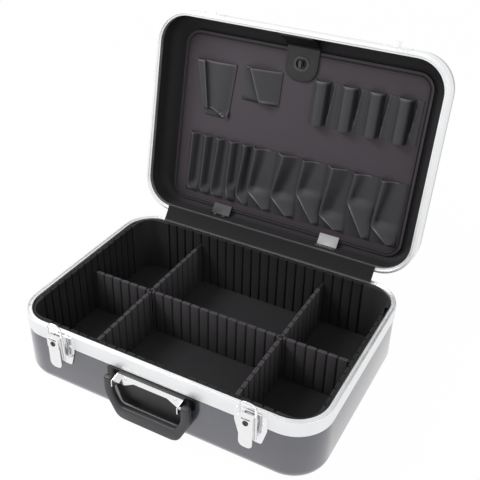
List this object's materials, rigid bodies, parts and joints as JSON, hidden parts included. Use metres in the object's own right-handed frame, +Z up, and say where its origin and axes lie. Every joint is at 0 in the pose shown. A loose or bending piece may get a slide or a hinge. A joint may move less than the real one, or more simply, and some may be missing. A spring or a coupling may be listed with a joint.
{
  "type": "hard tool case",
  "caption": "Open hard tool case: aluminium-framed moulded halves, hinged lid with a pocketed tool panel, divided ribbed base, key latches and a folding handle.",
  "frame": {"origin": "centre of the base's underside, on the floor", "axes": "+Z up, +X along the width to the right when facing the handle, +Y to the hinges"},
  "size_m": [0.46, 0.4555, 0.4314],
  "materials": {
    "shell_plastic": "fine-grained grey moulding",
    "frame_aluminium": "satin anodised",
    "liner_foam": "dark ribbed foam sheet",
    "floor_foam": "dark dense foam",
    "chromed_steel": "bright chrome",
    "black_steel": "black enamel",
    "grip_plastic": "soft-sheen dark grey moulding",
    "flap_rubber": "matt flexible strip",
    "lining_cloth": "close dark cloth",
    "panel_board": "stiff dark board",
    "panel_cloth": "grey-brown coated cloth",
    "pocket_cloth": "grey coated cloth",
    "strap_cloth": "dark coated webbing"
  },
  "bodies": {
    "case_base": {"base_shell": "shell_plastic", "base_frame": "frame_aluminium", "base_liner": "liner_foam", "base_floor_pad": "floor_foam", "long_divider": "liner_foam", "left_cross_divider": "liner_foam", "right_cross_divider": "liner_foam", "left_hinge_base_leaf": "chromed_steel", "right_hinge_base_leaf": "chromed_steel", "hinge_pins": "chromed_steel", "base_hinge_rivets": "chromed_steel", "left_latch_plate": "chromed_steel", "right_latch_plate": "chromed_steel", "latch_plate_rivets": "chromed_steel", "latch_pivot_pins": "chromed_steel", "handle_mount_plate": "black_steel", "handle_bracket": "chromed_steel", "handle_bracket_rivets": "chromed_steel", "handle_pivot_pins": "chromed_steel", "hinge_flap": "flap_rubber"},
    "lid": {"lid_shell": "shell_plastic", "lid_frame": "frame_aluminium", "lid_lining": "lining_cloth", "left_hinge_lid_leaf": "chromed_steel", "right_hinge_lid_leaf": "chromed_steel", "lid_hinge_rivets": "chromed_steel", "left_keeper": "chromed_steel", "right_keeper": "chromed_steel", "keeper_rivets": "chromed_steel", "left_panel_clip": "chromed_steel", "right_panel_clip": "chromed_steel", "panel_clip_rivets": "chromed_steel", "strap_foot": "strap_cloth", "strap_rivets": "chromed_steel", "panel_board": "panel_board", "panel_facing": "panel_cloth", "panel_piping": "panel_cloth", "large_pocket": "pocket_cloth", "box_pocket": "pocket_cloth", "tube_loops": "pocket_cloth", "narrow_pockets": "pocket_cloth", "wide_pockets": "pocket_cloth", "turn_lock_base": "black_steel"},
    "left_lever": {"left_latch_lever": "chromed_steel"},
    "right_lever": {"right_latch_lever": "chromed_steel"},
    "left_key": {"left_lock_plug": "chromed_steel", "left_lock_cam": "chromed_steel"},
    "right_key": {"right_lock_plug": "chromed_steel", "right_lock_cam": "chromed_steel"},
    "left_wire": {"left_bail": "chromed_steel"},
    "right_wire": {"right_bail": "chromed_steel"},
    "handle": {"carry_handle": "grip_plastic"},
    "turn_button": {"turn_knob": "chromed_steel"},
    "strap": {"panel_strap": "strap_cloth", "strap_eyelet": "black_steel"}
  },
  "joints": [
    {"name": "lid_hinge", "type": "hinge", "parent": "case_base", "child": "lid", "pos_m": [0, 0.167, 0.106], "axis": [-1, 0, 0], "range_deg": [-102.3, 0], "deforming": ["hinge_flap"]},
    {"name": "left_lever_lift", "type": "hinge", "parent": "case_base", "child": "left_lever", "pos_m": [-0.144, -0.168, 0.098], "axis": [-1, 0, 0], "range_deg": [0, 60]},
    {"name": "left_bail_swing", "type": "hinge", "parent": "left_lever", "child": "left_wire", "pos_m": [-0.144, -0.168, 0.063], "axis": [1, 0, 0], "range_deg": [-4.5, 110]},
    {"name": "left_key_turn", "type": "hinge", "parent": "left_lever", "child": "left_key", "pos_m": [-0.144, -0.172, 0.0925], "axis": [0, -1, 0], "range_deg": [0, 90]},
    {"name": "right_lever_lift", "type": "hinge", "parent": "case_base", "child": "right_lever", "pos_m": [0.144, -0.168, 0.098], "axis": [-1, 0, 0], "range_deg": [0, 60]},
    {"name": "right_bail_swing", "type": "hinge", "parent": "right_lever", "child": "right_wire", "pos_m": [0.144, -0.168, 0.063], "axis": [1, 0, 0], "range_deg": [-4.5, 110]},
    {"name": "right_key_turn", "type": "hinge", "parent": "right_lever", "child": "right_key", "pos_m": [0.144, -0.172, 0.0925], "axis": [0, -1, 0], "range_deg": [0, 90]},
    {"name": "handle_fold", "type": "hinge", "parent": "case_base", "child": "handle", "pos_m": [0, -0.171, 0.067], "axis": [-1, 0, 0], "range_deg": [0, 100]},
    {"name": "strap_fold", "type": "hinge", "parent": "lid", "child": "strap", "pos_m": [0, 0.26451, 0.39128], "axis": [-1, 0, 0], "range_deg": [0, 100]},
    {"name": "knob_turn", "type": "hinge", "parent": "lid", "child": "turn_button", "pos_m": [0, 0.25668, 0.36944], "axis": [0, -0.977, 0.213], "range_deg": [0, 90]}
  ]
}
